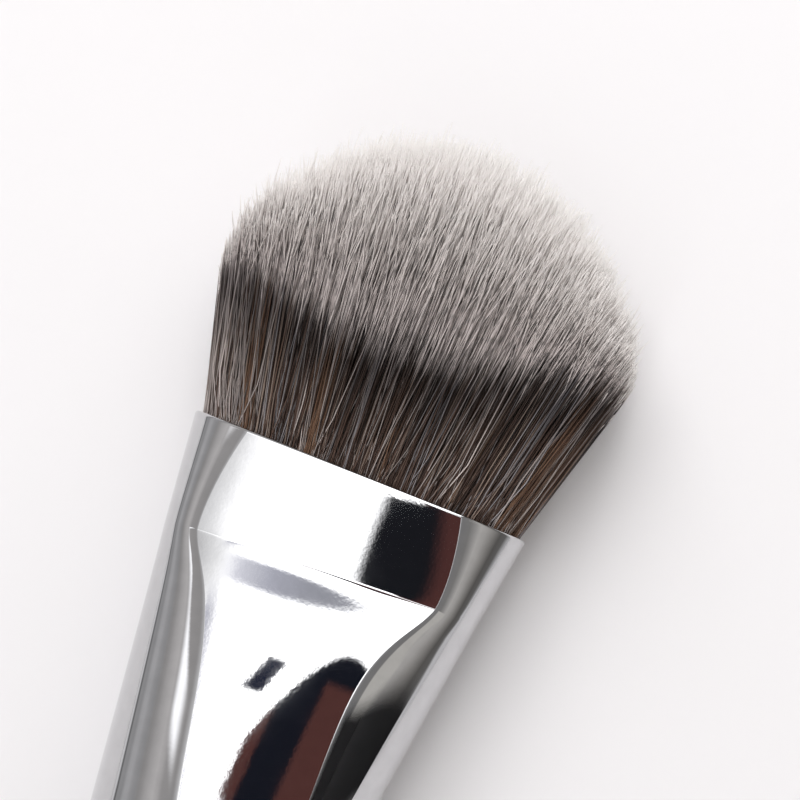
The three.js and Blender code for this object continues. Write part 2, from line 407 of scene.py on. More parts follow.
def dyed_at(depth):
    return 0.5 - 0.5 * depth / DYED_SPAN


def pale_at(share):
    return 0.5 + 0.5 * share


def filament_material():
    n = Nodes("two_tone_filament")
    tint, along, _ = n.axes(n.add("ShaderNodeUVMap", uv_map="OFBake").outputs["UV"])
    column = n.math("FLOOR", n.times(tint, float(TINT_COLUMNS)))
    dice = n.add("ShaderNodeTexWhiteNoise", noise_dimensions="1D")
    n.link(column, dice.inputs["W"])
    jitter = n.plus(n.times(dice.outputs["Value"], 0.6), 0.7)
    shift = n.times(n.minus(dice.outputs["Value"], 0.5), 0.8 / DYED_SPAN)
    height = n.plus(along, shift)

    # Dyed shafts: dark browns, chestnut, taupe, cool and warm greys, all darker towards the dye line
    shaft = n.ramp(tint, [
        (0.0, (0.043, 0.028, 0.023)), (0.3, (0.092, 0.056, 0.043)), (0.48, (0.16, 0.098, 0.074)),
        (0.52, (0.125, 0.068, 0.043)), (0.66, (0.25, 0.145, 0.092)), (0.68, (0.25, 0.185, 0.15)),
        (0.78, (0.36, 0.28, 0.235)), (0.8, (0.2, 0.183, 0.19)), (0.87, (0.4, 0.375, 0.39)),
        (0.88, (0.27, 0.233, 0.222)), (1.0, (0.62, 0.545, 0.52))])
    dark_depth = n.ramp(height, [
        (dyed_at(7.3), (1.0, 1.0, 1.0)), (dyed_at(4.8), (0.74, 0.72, 0.71)),
        (dyed_at(3.1), (0.42, 0.41, 0.415)), (dyed_at(1.1), (0.26, 0.25, 0.26))])
    light_depth = n.ramp(height, [
        (dyed_at(8.8), (1.0, 1.0, 1.0)), (dyed_at(6.4), (0.82, 0.81, 0.8)),
        (dyed_at(4.5), (0.54, 0.53, 0.53)), (dyed_at(2.7), (0.38, 0.37, 0.375)),
        (dyed_at(1.0), (0.33, 0.32, 0.33))])
    depth = n.mix(n.math("GREATER_THAN", tint, LIGHT_TINTS_FROM), dark_depth, light_depth)
    dyed = n.mix(1.0, n.mix(1.0, shaft, depth, "MULTIPLY"), jitter, "MULTIPLY")

    # Pale ends, lighter towards the dome's top: partly the tips' own paler colour and partly painted light
    # where the dome's top catches more light
    pale = n.ramp(height, [
        (pale_at(0.0), (0.57, 0.505, 0.49)), (pale_at(0.15), (0.61, 0.545, 0.53)),
        (pale_at(0.35), (0.66, 0.6, 0.58)), (pale_at(0.6), (0.75, 0.705, 0.685)),
        (pale_at(0.8), (0.83, 0.79, 0.77)), (pale_at(1.0), (0.9, 0.872, 0.852))])
    # Painted shade: dark flecks along the pale ends stand in for the shade in the gaps between tips, and
    # fade out towards the tips
    place = n.add("ShaderNodeCombineXYZ")
    n.link(n.times(column, 3.7), place.inputs["X"])
    n.link(n.times(height, 24.0), place.inputs["Y"])
    gap_shade_noise = n.add("ShaderNodeTexNoise")
    gap_shade_noise.inputs["Scale"].default_value = 1.0
    gap_shade_noise.inputs["Detail"].default_value = 1.0
    n.link(place.outputs[0], gap_shade_noise.inputs["Vector"])
    painted_gap_shade = n.grey_ramp(gap_shade_noise.outputs["Fac"], [(0.34, 0.4), (0.4, 0.56), (0.46, 0.95), (0.7, 1.05)])
    gap_shade_fade = n.grey_ramp(height, [(pale_at(0.34), 0.0), (pale_at(0.8), 1.0)])
    pale = n.mix(1.0, pale, n.mix(gap_shade_fade, painted_gap_shade, (1.0, 1.0, 1.0)), "MULTIPLY")

    bleached = n.grey_ramp(height, [(dyed_at(1.2), 0.0), (dyed_at(0.0), 0.45), (pale_at(0.09), 1.0)])
    n.link(n.mix(bleached, dyed, pale), n.shader.inputs["Base Color"])
    n.shader.inputs["Roughness"].default_value = 0.42
    n.shader.inputs["Specular IOR Level"].default_value = 0.45
    return n.material


CHROME = chrome_material()
LACQUER = lacquer_material()
FILAMENT = filament_material()
RESIN = resin_material()
THREAD = thread_material()


# Ferrule
def eased(past, blend):
    """A ramp from nothing to past, with its corner rounded."""
    return (past + math.sqrt(past * past + blend * blend)) / 2


def ferrule_size(depth):
    """Half the width, the thickness and the facet, the share of the way to round, and the facet's skew."""
    along_tube = min(depth / ROUND_START, 1.0)
    creased = eased(depth - PANEL_LENGTH, CREASE_BLEND)
    swelling = eased(depth - PANEL_LENGTH - SWELL_AFTER, SWELL_BLEND)
    pressed = min((creased + SWELL_SHARE * (swelling - creased)) / (ROUND_START - PANEL_LENGTH), 1.0)
    width = SOCKET_RADIUS + (MOUTH_WIDTH / 2 - SOCKET_RADIUS) * (1 - along_tube) ** NARROWING_POWER
    rise = 1 - (1 - pressed) ** ROUNDING_POWER
    thickness = MOUTH_THICKNESS / 2 + (SOCKET_RADIUS - MOUTH_THICKNESS / 2) * rise
    panel = min(depth / PANEL_LENGTH, 1.0)
    flat = MOUTH_FLAT + (width - CREASE_SIDE - MOUTH_FLAT) * panel
    pinching = eased(depth - PANEL_LENGTH - PINCH_AFTER, PINCH_BLEND) / PINCH_REACH
    pinch = PINCH_DEPTH * pinching * math.exp(1 - pinching)
    skew = FACET_SKEW * eased(depth - SKEW_AFTER, SKEW_BLEND) * min((1 - pressed) / SKEW_FADE, 1.0)
    return width, thickness, max(flat * (1 - pressed) ** FACET_FALL - pinch, FACET_LEAST), pressed, skew


def ferrule_ring(depth, inset):
    """The section at a depth, pulled in by the inset: rounded sides joined by two flat facets."""
    width, thickness, facet, pressed, skew = ferrule_size(depth)
    slant = CREASE_SLANT * min(depth / PANEL_LENGTH, 1.0)
    slant *= min(max((ROUND_START - depth) / (ROUND_START - SLANT_END), 0.0), 1.0)
    power = 2 / (2 + SHOULDER_FULLNESS * (1 - pressed))
    ring = []
    for side in (1, -1):
        for step in range(SIDE_STEPS + 1):
            angle = math.pi * (step / SIDE_STEPS - 0.5)
            across = max(math.cos(angle), 0) ** power
            rise = math.copysign(abs(math.sin(angle)) ** power, math.sin(angle))
            shoulder = facet + side * skew
            x = side * (shoulder + (width - inset - shoulder) * across)
            ring.append((x, slant * x - depth, side * (thickness - inset) * rise))
        for share in FLAT_SPREAD:
            x = skew + side * facet * (1 - 2 * share)
            ring.append((x, slant * x - depth, side * (thickness - inset)))
    return ring


def dent(depth):
    """How deep the crimped grooves are at a depth."""
    return sum(CRIMP_DEPTH * math.cos(math.pi * (depth - crimp) / CRIMP_WIDTH) ** 2
               for crimp in CRIMPS if abs(depth - crimp) < CRIMP_WIDTH / 2)


def build_ferrule():
    depths = sorted(set(np.round(np.concatenate([np.linspace(*run) for run in RING_RUNS]), 4)))
    rings = []
    for step in range(LIP_STEPS + 1):
        angle = math.pi * step / LIP_STEPS
        depth = LIP_RADIUS - LIP_RADIUS * math.sin(angle)
        rings.append(ferrule_ring(depth, LIP_RADIUS + LIP_RADIUS * math.cos(angle)))
    rings += [ferrule_ring(depth, dent(depth)) for depth in depths]
    for step in range(1, LIP_STEPS + 1):
        angle = math.pi * step / LIP_STEPS
        depth = FERRULE_LENGTH - LIP_RADIUS + LIP_RADIUS * math.sin(angle)
        rings.append(ferrule_ring(depth, LIP_RADIUS - LIP_RADIUS * math.cos(angle)))
    rings += [ferrule_ring(depth, dent(depth) + FERRULE_WALL) for depth in depths[::-INNER_RING_STEP]]
    count = len(rings[0])
    verts = [point for ring in rings for point in ring]
    faces = []
    for index in range(len(rings)):
        here, there = index * count, (index + 1) % len(rings) * count
        for i in range(count):
            j = (i + 1) % count
            faces.append((here + i, here + j, there + j, there + i))
    return mesh_object("ferrule_shell", verts, [np.array(faces)], CHROME)


# Handle
def bezier(points, steps):
    points = [Vector(point) for point in points]
    out = []
    for step in range(1, steps + 1):
        t = step / steps
        level = points
        while len(level) > 1:
            level = [a.lerp(b, t) for a, b in zip(level, level[1:])]
        out.append(tuple(level[0]))
    return out


def build_handle():
    shoulder = -FERRULE_LENGTH - SHOULDER_GAP
    front = TENON_FRONT - FERRULE_LENGTH
    belly = shoulder - BELLY_AFTER
    end = shoulder - HANDLE_LENGTH
    rim = SOCKET_RADIUS - SHOULDER_ROUND
    profile = [
        (AXIS_RADIUS, front), (TENON_RADIUS - TENON_CHAMFER, front), (TENON_RADIUS, front - TENON_CHAMFER),
        (TENON_RADIUS, shoulder + EDGE_LOOP), (TENON_RADIUS + 2 * EDGE_LOOP, shoulder),
        (rim - 2 * EDGE_LOOP, shoulder), (rim, shoulder)]
    profile += bezier([profile[-1], (SOCKET_RADIUS, shoulder),
                       (SOCKET_RADIUS, shoulder - SHOULDER_ROUND)], 8)
    profile += bezier([profile[-1], (BELLY_RADIUS, shoulder - BELLY_LEAD), (BELLY_RADIUS, belly)], 16)
    profile += bezier([profile[-1], (BELLY_RADIUS, belly - BELLY_REACH), (END_RADIUS, end + END_REACH),
                       (END_RADIUS, end + END_ROUND)], 60)
    profile += bezier([profile[-1], (END_RADIUS, end), (AXIS_RADIUS, end)], 16)
    angles = [2 * math.pi * turn / HANDLE_TURNS for turn in range(HANDLE_TURNS)]
    verts = [(radius * math.cos(angle), y, radius * math.sin(angle))
             for radius, y in profile for angle in angles]
    faces = []
    for row in range(len(profile) - 1):
        for turn in range(HANDLE_TURNS):
            a, b = row * HANDLE_TURNS + turn, row * HANDLE_TURNS + (turn + 1) % HANDLE_TURNS
            faces.append((a, b, b + HANDLE_TURNS, a + HANDLE_TURNS))
    last = (len(profile) - 1) * HANDLE_TURNS
    ends = np.array([range(HANDLE_TURNS)[::-1], range(last, last + HANDLE_TURNS)])
    return mesh_object("handle_grip", verts, [np.array(faces), ends], LACQUER)


# Tuft
def tuft_path(x, z, height):
    """Where a filament with its root at x, z stands at a height above the mouth."""
    above = np.clip(height - MOUTH_HEIGHT, 0, None)
    inside = 1 - ROOT_TAPER * np.clip(-height, 0, None)
    wide = ROOT_HALF_WIDTH * inside + FLARE * above
    thick = ROOT_HALF_THICKNESS + FLARE_THROUGH * above
    return x / ROOT_HALF_WIDTH * wide, z / ROOT_HALF_THICKNESS * thick


def dome_height(x, top):
    """How high filaments stand whose middle ones reach the top."""
    across = x / ROOT_HALF_WIDTH
    crown = np.clip(1 - across ** 2, 0, 1) ** CROWN_POWER
    return SIDE_HEIGHT + TUFT_TILT * across ** 3 + (top - SIDE_HEIGHT) * crown


def tip_height(x, z):
    middle, face = dome_height(x, TUFT_LENGTH), dome_height(x, FACE_HEIGHT)
    return face + (middle - face) * np.sqrt(np.clip(1 - (z / ROOT_HALF_THICKNESS) ** 2, 0, 1))


def dye_line(x):
    """The height where dark shafts turn pale: low in the middle and high at the sides."""
    across = x / ROOT_HALF_WIDTH
    line = DYE_SIDE + DYE_TILT * across - DYE_DIP * np.exp(-(across / DYE_SPREAD) ** 4)
    line = line - DYE_EDGE * np.clip(-across - DYE_EDGE_FROM, 0, None)
    return np.minimum(line, dome_height(x, TUFT_LENGTH) - PALE_LEAST)


def scatter_roots():
    """Roots packed over the mouth's opening, a little out of line."""
    columns = np.arange(-ROOT_HALF_WIDTH, ROOT_HALF_WIDTH, ROOT_PITCH)
    rows = np.arange(-ROOT_HALF_THICKNESS, ROOT_HALF_THICKNESS, ROOT_PITCH * ROW_PITCH)
    x, z = np.meshgrid(columns, rows)
    x = x + (np.arange(len(rows)) % 2)[:, None] * ROOT_PITCH / 2
    x = x + rng.normal(0, ROOT_SCATTER * ROOT_PITCH, x.shape)
    z = z + rng.normal(0, ROOT_SCATTER * ROOT_PITCH, z.shape)
    beyond = np.clip(np.abs(x) - MOUTH_FLAT, 0, None) / (ROOT_HALF_WIDTH - MOUTH_FLAT)
    inside = beyond ** 2 + (z / ROOT_HALF_THICKNESS) ** 2 <= 1
    return x[inside], z[inside]


def nearest(x, z, centres):
    """For each root, which of the centres it is nearest to."""
    best = np.empty(len(x), dtype=int)
    for start in range(0, len(x), 1000):
        part = slice(start, start + 1000)
        gap = (x[part, None] - x[None, centres]) ** 2 + (z[part, None] - z[None, centres]) ** 2
        best[part] = np.argmin(gap, axis=1)
    return best


def choose_tints(x, lock):
    """Which filaments are light, most of them at the sides, and the tint column of each, some in patches."""
    across = x / ROOT_HALF_WIDTH
    dice = rng.random((len(x), 4))
    warm = rng.random(LOCK_COUNT)[lock] + WARM_SWELL * np.sin(WARM_WAVE * x + WARM_PHASE)
    share = LIGHT_SHARE - LIGHT_TILT * across + LIGHT_SIDES * np.abs(across) ** 3
    light = dice[:, 0] < share + LIGHT_EDGE * np.clip(-across - EDGE_FROM, 0, 1)
    cool = light & (warm < COOL_BELOW) & (across > COOL_FROM)
    chestnut = ~light & (warm > CHESTNUT_ABOVE) & (dice[:, 1] < CHESTNUT_SHARE)
    taupe = ~light & ~chestnut & (dice[:, 1] > np.where(across < -EDGE_FROM, TAUPE_ABOVE_EDGE, TAUPE_ABOVE))
    tint = DARK_TINTS[0] + DARK_TINTS[1] * dice[:, 2]
    for chosen, (start, width) in ((taupe, TAUPE_TINTS), (chestnut, CHESTNUT_TINTS),
                                   (light, GREY_TINTS), (cool, COOL_TINTS)):
        tint = np.where(chosen, start + width * dice[:, 2], tint)
    return light, np.floor(np.clip(tint, 0, 0.9999) * TINT_COLUMNS)


def build_tuft():
    x, z = scatter_roots()
    count = len(x)
    locks = rng.choice(count, LOCK_COUNT, replace=False)
    wisps = rng.choice(count, WISP_COUNT, replace=False)
    lock, wisp = nearest(x, z, locks), nearest(x, z, wisps)
    side = np.abs(x / ROOT_HALF_WIDTH)
    outer = np.abs(z) / ROOT_HALF_THICKNESS
    light, column = choose_tints(x, lock)

    # Tips end on the dome, a little ragged and less so at the sides, and some fall short of it
    calm = 1 - CALM_SHARE * np.clip((side - CALM_FROM) / CALM_WIDTH, 0, 1)
    ragged = (rng.normal(0, RAGGED[0], LOCK_COUNT)[lock] + rng.normal(0, RAGGED[1], WISP_COUNT)[wisp]
              + rng.normal(0, RAGGED[2], count)) * calm
    short = rng.exponential(1, count) * (SHORT_FACE + SHORT_CORE * (1 - outer) ** 2)
    tip = np.clip(tip_height(x, z) + ragged - short + TIP_RISE, TIP_LEAST, None)
    line = dye_line(x) + rng.normal(0, DYE_RAGGED_LOCK, LOCK_COUNT)[lock]
    line = np.minimum(line + rng.normal(0, DYE_RAGGED, count) * calm, tip - PALE_TIP)

    # Filaments lean and bow, light ones most, but at the sides only inwards
    lean = (rng.normal(0, LEAN_LOCK, (LOCK_COUNT, 2))[lock] + rng.normal(0, LEAN_WISP, (WISP_COUNT, 2))[wisp]
            + rng.normal(0, 1, (count, 2)) * np.where(light, LEAN_LIGHT, LEAN_DARK)[:, None])
    stray = rng.random(count) < STRAY_SHARE
    lean[stray] += rng.normal(0, STRAY_LEAN, (stray.sum(), 2))
    bow = rng.normal(0, 1, (count, 2)) * np.where(light, BOW_LIGHT, BOW_DARK)[:, None]
    tame = np.clip((side - TAME_FROM) / TAME_WIDTH, 0, 1)
    for sway in (lean, bow):
        sway[:, 0] = (1 - tame) * sway[:, 0] - tame * np.sign(x) * TAME_SHARE * np.abs(sway[:, 0])

    # They are drawn together into locks, and near their tips into wisps, and waver
    pull_lock = rng.uniform(*LOCK_PULL, LOCK_COUNT)[lock]
    pull_wisp = rng.uniform(*WISP_PULL, WISP_COUNT)[wisp]
    phase, waves = rng.uniform(0, 2 * math.pi, (count, 2)), rng.uniform(*WAVES, count)
    wobble = np.abs(rng.normal(0, WOBBLE, count))
    turn = rng.uniform(0, 2 * math.pi, count)
    girth = np.where(light, 1.0, DARK_GIRTH) * rng.uniform(*GIRTH, count)

    low = [np.full(count, ROOT_DEPTH), np.full(count, MOUTH_HEIGHT), SHAFT_SHARE * line]
    heights = np.stack(low + [line + share * (tip - line) for share in PALE_SHARES], axis=1)
    rings = []
    for height, radius in zip(heights.T, FILAMENT_RADIUS):
        share = np.clip(height / tip, 0, 1)
        px, pz = tuft_path(x, z, height)
        lock_x, lock_z = tuft_path(x[locks][lock], z[locks][lock], height)
        wisp_x, wisp_z = tuft_path(x[wisps][wisp], z[wisps][wisp], height)
        to_lock = pull_lock * np.clip((share - LOCK_FROM) / LOCK_RUN, 0, 1)
        to_wisp = pull_wisp * np.clip((share - WISP_FROM) / WISP_RUN, 0, 1)
        px = px + to_lock * (lock_x - px) + to_wisp * (wisp_x - px)
        pz = pz + to_lock * (lock_z - pz) + to_wisp * (wisp_z - pz)
        cycle = 2 * math.pi * waves * share
        arch, tilt = 4 * share * (1 - share), share ** LEAN_POWER
        px = px + lean[:, 0] * tilt + bow[:, 0] * arch + wobble * share * np.sin(cycle + phase[:, 0])
        pz = pz + LEAN_THROUGH * lean[:, 1] * tilt + BOW_THROUGH * bow[:, 1] * arch
        pz = pz + wobble * share * np.cos(cycle + phase[:, 1])
        table = (TABLE_GAP - REST_HEIGHT + height * math.sin(REST_TILT)) / math.cos(REST_TILT)
        pz = np.maximum(pz, table)
        ring = np.empty((count, CORNERS, 3))
        for corner in range(CORNERS):
            angle = turn + corner * 2 * math.pi / CORNERS
            ring[:, corner] = np.stack([px + girth * radius * np.cos(angle), height,
                                        pz + girth * radius * np.sin(angle)], axis=1)
        rings.append(ring)
    points = np.stack(rings, axis=1)

    # Over the dye line the hue goes by how far a station stands under the dome's top, so the pale ramp's
    # painted light lands on the top of the dome
    over = heights - line[:, None]
    crown = dome_height(x, TUFT_LENGTH)
    run = np.maximum(crown - line, PALE_RUN)[:, None]
    under = np.clip((crown[:, None] - heights) / run, 0, 1)
    hue = np.where(over < 1e-6, dyed_at(-over), pale_at(1 - under))
    steps = np.arange(heights.shape[1])
    hue = np.clip(hue, HUE_STEP * (1 + steps), 1 - HUE_STEP * (steps[-1] - steps))

    layer = np.digitize(-z, [-ROOT_HALF_THICKNESS / 2, 0, ROOT_HALF_THICKNESS / 2])
    for index, name in enumerate(("upper_face", "upper_core", "lower_core", "lower_face")):
        chosen = layer == index
        build_layer(name, points[chosen], hue[chosen], column[chosen])


def build_layer(name, points, hue, column):
    """One layer's filaments as a mesh, each with its tint column and its hues in the UV map."""
    count, stations = points.shape[:2]
    first = np.arange(count)[:, None, None, None] * stations * CORNERS
    ring = np.arange(stations - 1)[None, :, None, None] * CORNERS
    side = np.arange(CORNERS)[None, None, :, None]
    after = (side + 1) % CORNERS
    faces = np.concatenate([first + ring + side, first + ring + CORNERS + side,
                            first + ring + CORNERS + after, first + ring + after], axis=3).reshape(-1, 4)
    spread = COLUMN_USED * np.arange(CORNERS)[None, None, :] / CORNERS
    u_low = (column[:, None, None] + COLUMN_MARGIN + spread) / TINT_COLUMNS
    u_high = u_low + COLUMN_USED / CORNERS / TINT_COLUMNS
    v_low, v_high = hue[:, :-1, None], hue[:, 1:, None]
    shape = (count, stations - 1, CORNERS)
    loops = [(u_low, v_low), (u_low, v_high), (u_high, v_high), (u_high, v_low)]
    uv = np.stack([np.stack([np.broadcast_to(u, shape), np.broadcast_to(v, shape)], axis=-1)
                   for u, v in loops], axis=3).reshape(-1, 2)
    cap = [0, 2, 1]
    tips = (np.arange(count)[:, None] * stations + stations - 1) * CORNERS + np.array(cap)
    tip_uv = np.stack([u_low[:, 0, cap], np.repeat(hue[:, -1:], CORNERS, axis=1)], axis=-1).reshape(-1, 2)
    piece = mesh_object("filaments_" + name, points.reshape(-1, 3), [faces, tips], FILAMENT,
                        np.concatenate([uv, tip_uv]))
    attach(piece, "root")
    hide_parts("bristles_" + name)


shell = build_ferrule()
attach(shell, "root")
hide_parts("ferrule")
grip = build_handle()
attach(grip, "root")
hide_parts("handle")
build_tuft()
for node, material in (("tenon_glue", RESIN), ("root_plug", RESIN), ("root_binding", THREAD)):
    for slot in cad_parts[node].material_slots:
        slot.material = material


# Studio
FLOOR_REACH = 3.0


def stage_object(name, verts, faces, material):
    mesh = bpy.data.meshes.new(name)
    mesh.from_pydata(verts, [], faces)
    mesh.materials.append(material)
    piece = bpy.data.objects.new(name, mesh)
    scene.collection.objects.link(piece)
    return piece


def build_floor():
    n = Nodes("white_table")
    n.link(n.ramp(n.noise(4.0, 2.0), [(0.3, (0.93, 0.915, 0.93)), (0.7, (0.945, 0.93, 0.945))]),
           n.shader.inputs["Base Color"])
    n.shader.inputs["Roughness"].default_value = 0.7
    n.shader.inputs["Specular IOR Level"].default_value = 0.1
    corners = [(x * FLOOR_REACH, y * FLOOR_REACH, 0) for x, y in ((-1, -1), (1, -1), (1, 1), (-1, 1))]
    stage_object("table", corners, [(0, 1, 2, 3)], n.material)


# The studio as the chrome sees it: greys by the angle across the brush, from one horizon over the top to the
# other, with a bright strip almost straight above
STUDIO_BANDS = [
    (-90, (0.9, 0.891, 0.904)), (-87.5, (0.85, 0.841, 0.854)), (-85, (0.14, 0.139, 0.141)),
    (-82, (0.42, 0.416, 0.422)), (-76, (0.4, 0.396, 0.402)), (-71, (0.54, 0.535, 0.543)),
    (-66, (0.55, 0.544, 0.553)), (-61, (0.46, 0.455, 0.462)), (-56, (0.41, 0.406, 0.412)),
    (-51, (0.4, 0.387, 0.382)), (-47, (0.45, 0.435, 0.43)), (-43, (0.54, 0.522, 0.516)),
    (-38, (0.62, 0.6, 0.592)), (-33, (0.68, 0.658, 0.649)), (-28, (0.6, 0.58, 0.573)),
    (-24, (0.47, 0.454, 0.449)), (-19, (0.45, 0.435, 0.43)), (-13, (0.43, 0.416, 0.411)),
    (-10.4, (0.75, 0.745, 0.75)), (-9.4, (1.7, 1.7, 1.7)), (-8.6, (3.4, 3.4, 3.4)),
    (-3.7, (3.4, 3.4, 3.4)), (-3.1, (0.62, 0.62, 0.63)), (-2, (0.27, 0.265, 0.265)),
    (6, (0.28, 0.272, 0.264)), (14, (0.43, 0.416, 0.402)), (22, (0.6, 0.58, 0.555)),
    (32, (0.53, 0.51, 0.488)), (46, (0.34, 0.325, 0.308)), (62, (0.14, 0.133, 0.126)),
    (76, (0.17, 0.165, 0.16)), (88, (0.6, 0.595, 0.6))]

# Cards hang in the studio at an east and a north: how far a direction goes along x and y for each step up.
# South of the edge the studio hangs a little askew.
LEAST_STEP = 0.05
ASKEW_EDGE = (-0.12, -0.06)
ASKEW_TURN, ASKEW_SHIFT = 0.0338, -0.0094
SOUTH_SCALE, SOUTH_SHIFT = 0.9765, 0.003
# Plain cards: reach in east, reach in north, softness in east, softness in north, colour
PALE_CARDS = (
    ((-0.45, -0.05), (-0.3, -0.13), (0.05, 0.02), (0.05, 0.03), (0.66, 0.64, 0.6)),
    ((0.33, 0.54), (-0.19, -0.1), (0.08, 0.07), (0.012, 0.025), (1.75, 1.75, 1.78)))
HIGH_BROWN_CARD = ((0.058, 0.086), (-0.085, 0.12), (0.002, 0.002), (0.012, 0.02), (0.112, 0.044, 0.04))
# Other cards: reach in east or north with the softness at either end, and how their sides lean or curve
LENS_CURVE = (0.15, 0.0345, 0.0045)
LENS_NORTH = (-0.345, -0.3165, (0.004, 0.004))
LENS_EAST = (-1.0, 0.166, (0.1, 0.006))
LENS_TONES = [
    (0.36, (0.42, 0.43, 0.48)), (0.5, (0.5, 0.51, 0.57)), (0.58, (0.66, 0.67, 0.76)),
    (0.68, (1.3, 1.3, 1.4))]
LENS_TONE_SCALE = 4.0
LOW_LEAN = 1.65
LOW_CURVE = (0.1, 1.0, 110.0)
LOW_EDGE = (-0.4525, 1.0, (0.005, 0.1))
LOW_NORTH = (-1.0, -0.11, (0.1, 0.01))
LOW_DARK_EAST = (0.07, 0.1212, (0.002, 0.002))
LOW_BROWN_EAST = ((0.0, 0.0997, (0.02, 0.0012)), (0.117, 0.124, (0.001, 0.002)))
LOW_BROWN_NORTH = (-0.262, -0.12, (0.006, 0.01))
SPOT_LEAN = 0.1625
SPOT_EAST = (0.1637, 0.1731, (0.0008, 0.0008))
SPOT_NORTH = (-0.267, -0.23, (0.003, 0.004))
RIM_LEAN = 0.141
RIM_EAST = (0.1225, 0.1278, (0.004, 0.001))
RIM_NORTH = (-0.3, -0.09, (0.02, 0.01))
HIGH_EAST_LEAN = 0.25
HIGH_EAST_FROM = (0.0635, 1.0, (0.0048, 0.1))
HIGH_EAST_TO = (-1.0, 0.1045, (0.1, 0.005))
HIGH_NORTH_LEAN, HIGH_NORTH_PIVOT = 0.117, 0.066
HIGH_NORTH = (-0.0545, 0.12, (0.0012, 0.02))
FAR_NORTH = (0.8, 1000.0, (0.3, 1.0))
FAR_EAST = (-1000.0, -0.5, (1.0, 0.25))
HIGH_DARK = (0.014, 0.015, 0.019)
LOW_DARK = (0.012, 0.014, 0.022)
LOW_BROWN = (0.125, 0.05, 0.044)
SPOT_DARK = (0.02, 0.024, 0.05)
RIM_PALE = (0.8, 0.8, 0.9)
FAR_PALE = (0.72, 0.71, 0.72)
BACKDROP = (0.76, 0.75, 0.76)


def build_world():
    n = Nodes("studio", bpy.data.worlds.new("studio"))
    scene.world = n.material
    x, y, z = n.axes(n.coords("Generated"))
    step = n.math("MAXIMUM", z, LEAST_STEP)
    east, north = n.math("DIVIDE", x, step), n.math("DIVIDE", y, step)
    askew = n.plus(n.times(north, ASKEW_TURN), ASKEW_SHIFT)
    low_east = n.plus(east, askew)
    low_north = n.plus(n.times(north, SOUTH_SCALE), SOUTH_SHIFT)
    south = n.minus(1.0, n.smooth(north, *ASKEW_EDGE))
    sideways = n.times(n.plus(x, n.times(south, n.times(askew, z))), -1.0)
    across = n.math("ARCTAN2", sideways, n.math("MAXIMUM", z, 0.001))
    place = n.plus(n.math("DIVIDE", across, math.pi), 0.5)
    level = n.ramp(place, [((angle + 90) / 180, colour) for angle, colour in STUDIO_BANDS])

    def card(under, east_reach, north_reach, soft_east, soft_north, colour):
        cover = n.times(n.inside(east, *east_reach, soft_east), n.inside(north, *north_reach, soft_north))
        return n.mix(cover, under, colour)

    def sweep(centre, spread, weight):
        """A parabola over east, for cards with a curved edge."""
        off = n.math("DIVIDE", n.minus(low_east, centre), spread)
        return n.times(n.times(off, off), weight)

    # A lens-shaped grey card, brighter towards the east
    lens = n.inside(n.plus(low_north, sweep(*LENS_CURVE)), *LENS_NORTH)
    lens = n.times(lens, n.inside(low_east, *LENS_EAST))
    level = n.mix(lens, level, n.ramp(n.times(low_east, LENS_TONE_SCALE), LENS_TONES))

    # Low cards: a dark one with a curved edge, brown ones along both its sides, a small dark one beside it
    # and a pale rim
    edge = n.minus(n.minus(low_north, n.times(low_east, LOW_LEAN)), sweep(*LOW_CURVE))
    low = n.times(n.inside(edge, *LOW_EDGE), n.inside(low_north, *LOW_NORTH))
    level = n.mix(n.times(low, n.inside(low_east, *LOW_DARK_EAST)), level, LOW_DARK)
    brown = n.math("MAXIMUM", *(n.inside(low_east, *reach) for reach in LOW_BROWN_EAST))
    brown = n.times(n.times(brown, low), n.inside(low_north, *LOW_BROWN_NORTH))
    level = n.mix(brown, level, LOW_BROWN)
    spot_east = n.minus(low_east, n.times(low_north, SPOT_LEAN))
    spot = n.times(n.inside(spot_east, *SPOT_EAST), n.inside(low_north, *SPOT_NORTH))
    level = n.mix(spot, level, SPOT_DARK)
    rim_east = n.plus(low_east, n.times(low_north, RIM_LEAN))
    rim = n.times(n.inside(rim_east, *RIM_EAST), n.inside(low_north, *RIM_NORTH))
    level = n.mix(rim, level, RIM_PALE)
    for plain in PALE_CARDS:
        level = card(level, *plain)

    # High cards: a brown one that a dark one covers but for its edge
    level = card(level, *HIGH_BROWN_CARD)
    high_east = n.plus(east, n.times(north, HIGH_EAST_LEAN))
    high_north = n.minus(north, n.times(n.plus(east, -HIGH_NORTH_PIVOT), HIGH_NORTH_LEAN))
    high = n.times(n.inside(high_east, *HIGH_EAST_FROM), n.inside(east, *HIGH_EAST_TO))
    high = n.times(high, n.inside(high_north, *HIGH_NORTH))
    level = n.mix(high, level, HIGH_DARK)

    # The far corner over the handle is pale, and past the table's edge the camera sees a plain backdrop
    corner = n.times(n.inside(north, *FAR_NORTH), n.inside(east, *FAR_EAST))
    level = n.mix(corner, level, FAR_PALE)
    level = n.mix(n.add("ShaderNodeLightPath").outputs["Is Camera Ray"], level, BACKDROP)
    n.link(level, n.shader.inputs["Color"])


# The flag, in metres: a wall beside the ferrule with a roof over it, and where they fade out
FLAG_WALL, FLAG_EDGE = -0.018, -0.003
FLAG_NEAR, FLAG_FAR = -0.06, -0.01
FLAG_LOW, FLAG_TOP = 0.0125, 0.045
NEAR_FADE, NEAR_LEAN = (-0.0469, -0.0438), 0.19
FAR_FADE = (-0.041, -0.033)
EDGE_FADE = (-0.007, -0.003)


